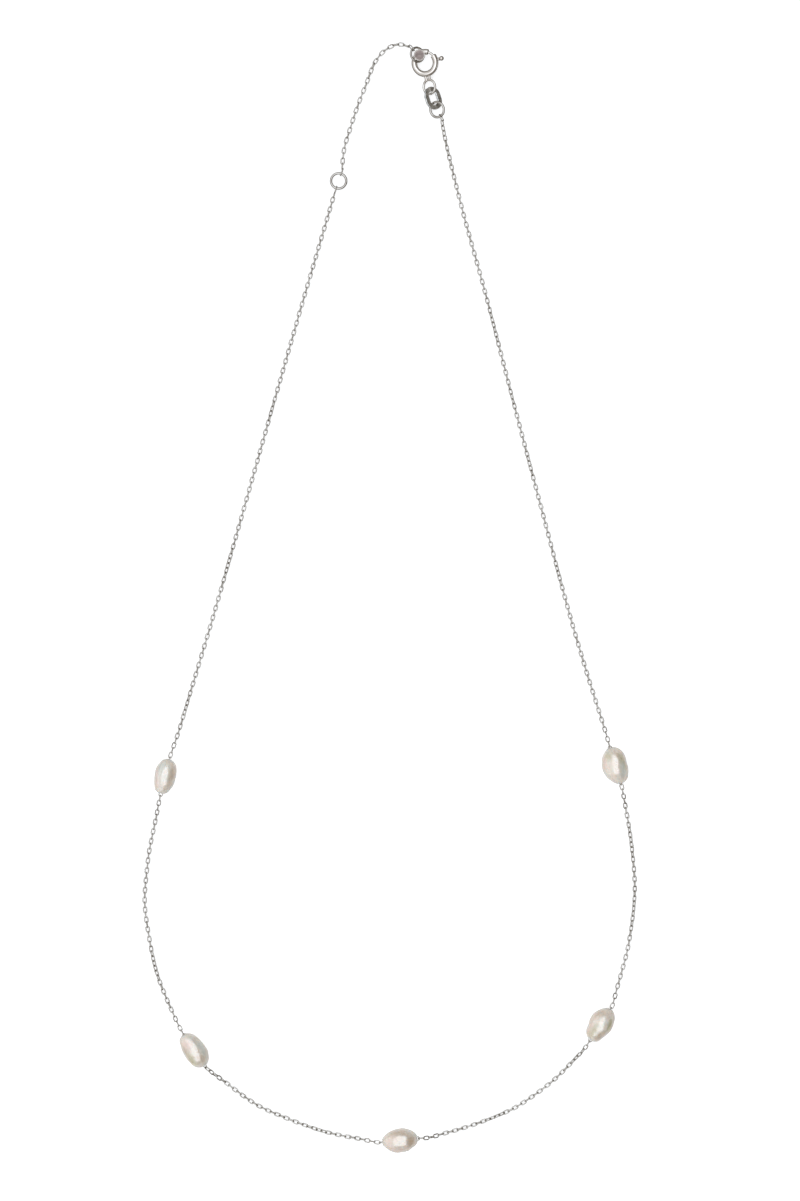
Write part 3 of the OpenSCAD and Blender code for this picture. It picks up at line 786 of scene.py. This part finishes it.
def round_plate():
    """Points and faces of the round plate, and which of its faces are the dish's."""
    profile = plate_profile()
    angles = [-TURN * k / PLATE_SIDES for k in range(PLATE_SIDES)]
    disc = [[r * math.cos(a), r * math.sin(a), z] for r, z in profile for a in angles]
    points = on_clasp(np.array(disc) + np.array([PLATE["r"], 0, PLATE["z"]]), PLATE["a"])
    bands = (len(profile) - 1) * PLATE_SIDES
    dish = [*range(bands - (DISH_ROUNDS - 1) * PLATE_SIDES, bands), bands + 1]
    return points, closed_ends(points, PLATE_SIDES, grid_faces(len(profile), PLATE_SIDES, False)), dish


def eyelet():
    """Points and faces of the eyelet's ring, which is twisted a little out of the clasp's plane."""
    points, faces = wire_ring(EYELET["d"], EYELET["wire"])
    twist = np.array(Matrix.Rotation(math.radians(EYELET["twist"]), 3, "X"))
    return on_clasp(np.array(points) @ twist.T + np.array([EYELET["r"], 0, 0]), EYELET["a"]), faces


def leg(side):
    """Points and faces of a soldered leg between the tube and the eyelet, which spreads into both."""
    rows = []
    for j in range(LEG_ROUNDS):
        s = j / (LEG_ROUNDS - 1)
        x = LEG["start"] + (LEG["stop"] - LEG["start"]) * s
        flare = LEG["start_flare"] * math.exp(-s / LEG["flare_run"])
        foot = 1 + flare + LEG["stop_flare"] * math.exp(-(1 - s) / LEG["flare_run"])
        for k in range(LEG_SIDES):
            b = TURN * k / LEG_SIDES
            y = side * LEG["spread"] + foot * LEG_WIDE[side] * math.cos(b)
            rows.append([x, y, -foot * LEG["thick"] * math.sin(b)])
    points = on_clasp(rows, EYELET["a"])
    return points, closed_ends(points, LEG_SIDES, grid_faces(LEG_ROUNDS, LEG_SIDES, False))


def clasp_body():
    """The spring ring: a hollow tube with its slot, the round plate, and the eyelet on its two legs."""
    tube, (plate, plate_faces, dish) = slotted_tube(), round_plate()
    points, faces = joined([tube, (plate, plate_faces), eyelet(), leg(-1), leg(1)])
    made = new_piece("spring_ring_body", tipped(points, CLASP["at"], CLASP["slope"]), faces)
    made.data.materials.append(FINISHES["clasp_silver"])
    made.data.materials.append(MATTED)
    first = len(tube[1])
    for f in dish:
        made.data.polygons[first + f].material_index = 1
    return dressed(made, "clasp_silver", "clasp_body")


def end_ring():
    """The closed ring in the clasp, which goes over the tube on the left and under it and the round plate."""
    ring = RINGS["end_ring"]
    points, faces = wire_ring(ring["d"], END_RING_WIRE)
    made = new_piece("closed_end_ring", tipped(points, ring["at"], ring["slope"]), faces)
    return dressed(made, "ring_silver", "end_ring")


tag_link()
clasp_body()
end_ring()

# CAD nodes that keep their shape
KEPT = {"adjuster_ring": "ring_silver", "jump_ring": "ring_silver", "clasp_gate": "clasp_silver"}
for name, slot in KEPT.items():
    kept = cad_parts[name]
    kept.data.materials.clear()
    kept.data.materials.append(FINISHES[slot])


# Floor, light and camera
FLOOR_REACH, FLOOR_DROP = 6000, 0.04
# How far the soft box overhead reaches to each side, in degrees from straight up
BOX = dict(right=26, left=32, along=48)


def floor():
    """A white sheet that glows a little itself, so that the necklace casts hardly any shadow on it."""
    r = FLOOR_REACH
    made = new_piece("floor", [(-r, -r, 0), (r, -r, 0), (r, r, 0), (-r, r, 0)], [(0, 1, 2, 3)])
    made.location.z = -FLOOR_DROP * MM
    fixed = {"Roughness": 0.9, "Specular IOR Level": 0.1, "Emission Color": (1, 1, 1),
             "Emission Strength": 0.6}

    def varied(nodes):
        return {"Base Color": nodes.cloud(40).blend((0.74, 0.74, 0.74), (0.76, 0.76, 0.76))}

    made.data.materials.append(finish("white_sheet", fixed, varied))
    made.visible_glossy = False


def studio():
    """What lights the necklace: a soft box overhead, a pale wall on its left, a dim warm one on its right."""
    world = bpy.data.worlds.new("studio")
    bpy.context.scene.world = world
    world.use_nodes = True
    nodes = Nodes(world.node_tree)
    where = nodes.add("ShaderNodeTexCoord", output="Generated")
    x, y, z = (nodes.add("ShaderNodeSeparateXYZ", None, {"Vector": where}, axis) for axis in "XYZ")
    tan = {side: math.tan(math.radians(degrees)) for side, degrees in BOX.items()}
    right = (x - z * tan["right"]).between(-0.12, 0.10, 1, 0)
    left = (0 - x - z * tan["left"]).between(-0.22, 0.18, 1, 0)
    along = (abs(y) - z * tan["along"]).between(-0.26, 0.22, 1, 0)
    room = x.between(-0.75, 0.15).blend((0.76, 0.77, 0.78), (0.21, 0.195, 0.175))
    horizon = z.between(-0.1, 0.25).blend((0.33, 0.32, 0.305), room)
    seen = (left * right * along).blend(horizon, (1.46, 1.54, 1.65))
    glow = nodes.add("ShaderNodeBackground", None, {"Color": seen})
    backdrop = nodes.add("ShaderNodeBackground", None, {"Color": (1, 1, 1)})
    to_camera = nodes.add("ShaderNodeLightPath", output="Is Camera Ray")
    both = nodes.add("ShaderNodeMixShader", None, {0: to_camera, 1: glow, 2: backdrop})
    nodes.add("ShaderNodeOutputWorld", None, {"Surface": both})


def camera():
    """A long lens straight above the necklace."""
    lens, sensor, tall = 100.0, 36.0, 210.70
    x, y, z = 1.82, -0.61, 0.5
    made = bpy.data.cameras.new("overhead")
    made.lens, made.sensor_width = lens, sensor
    made.clip_start, made.clip_end = 0.01, 30
    eye = bpy.data.objects.new("overhead", made)
    eye.location = (x * MM, y * MM, (z + tall * lens / sensor) * MM)
    bpy.context.scene.collection.objects.link(eye)
    bpy.context.scene.camera = eye


floor()
studio()
camera()
bpy.context.scene.view_settings.view_transform = "Standard"
bpy.context.scene.cycles.max_bounces = 8
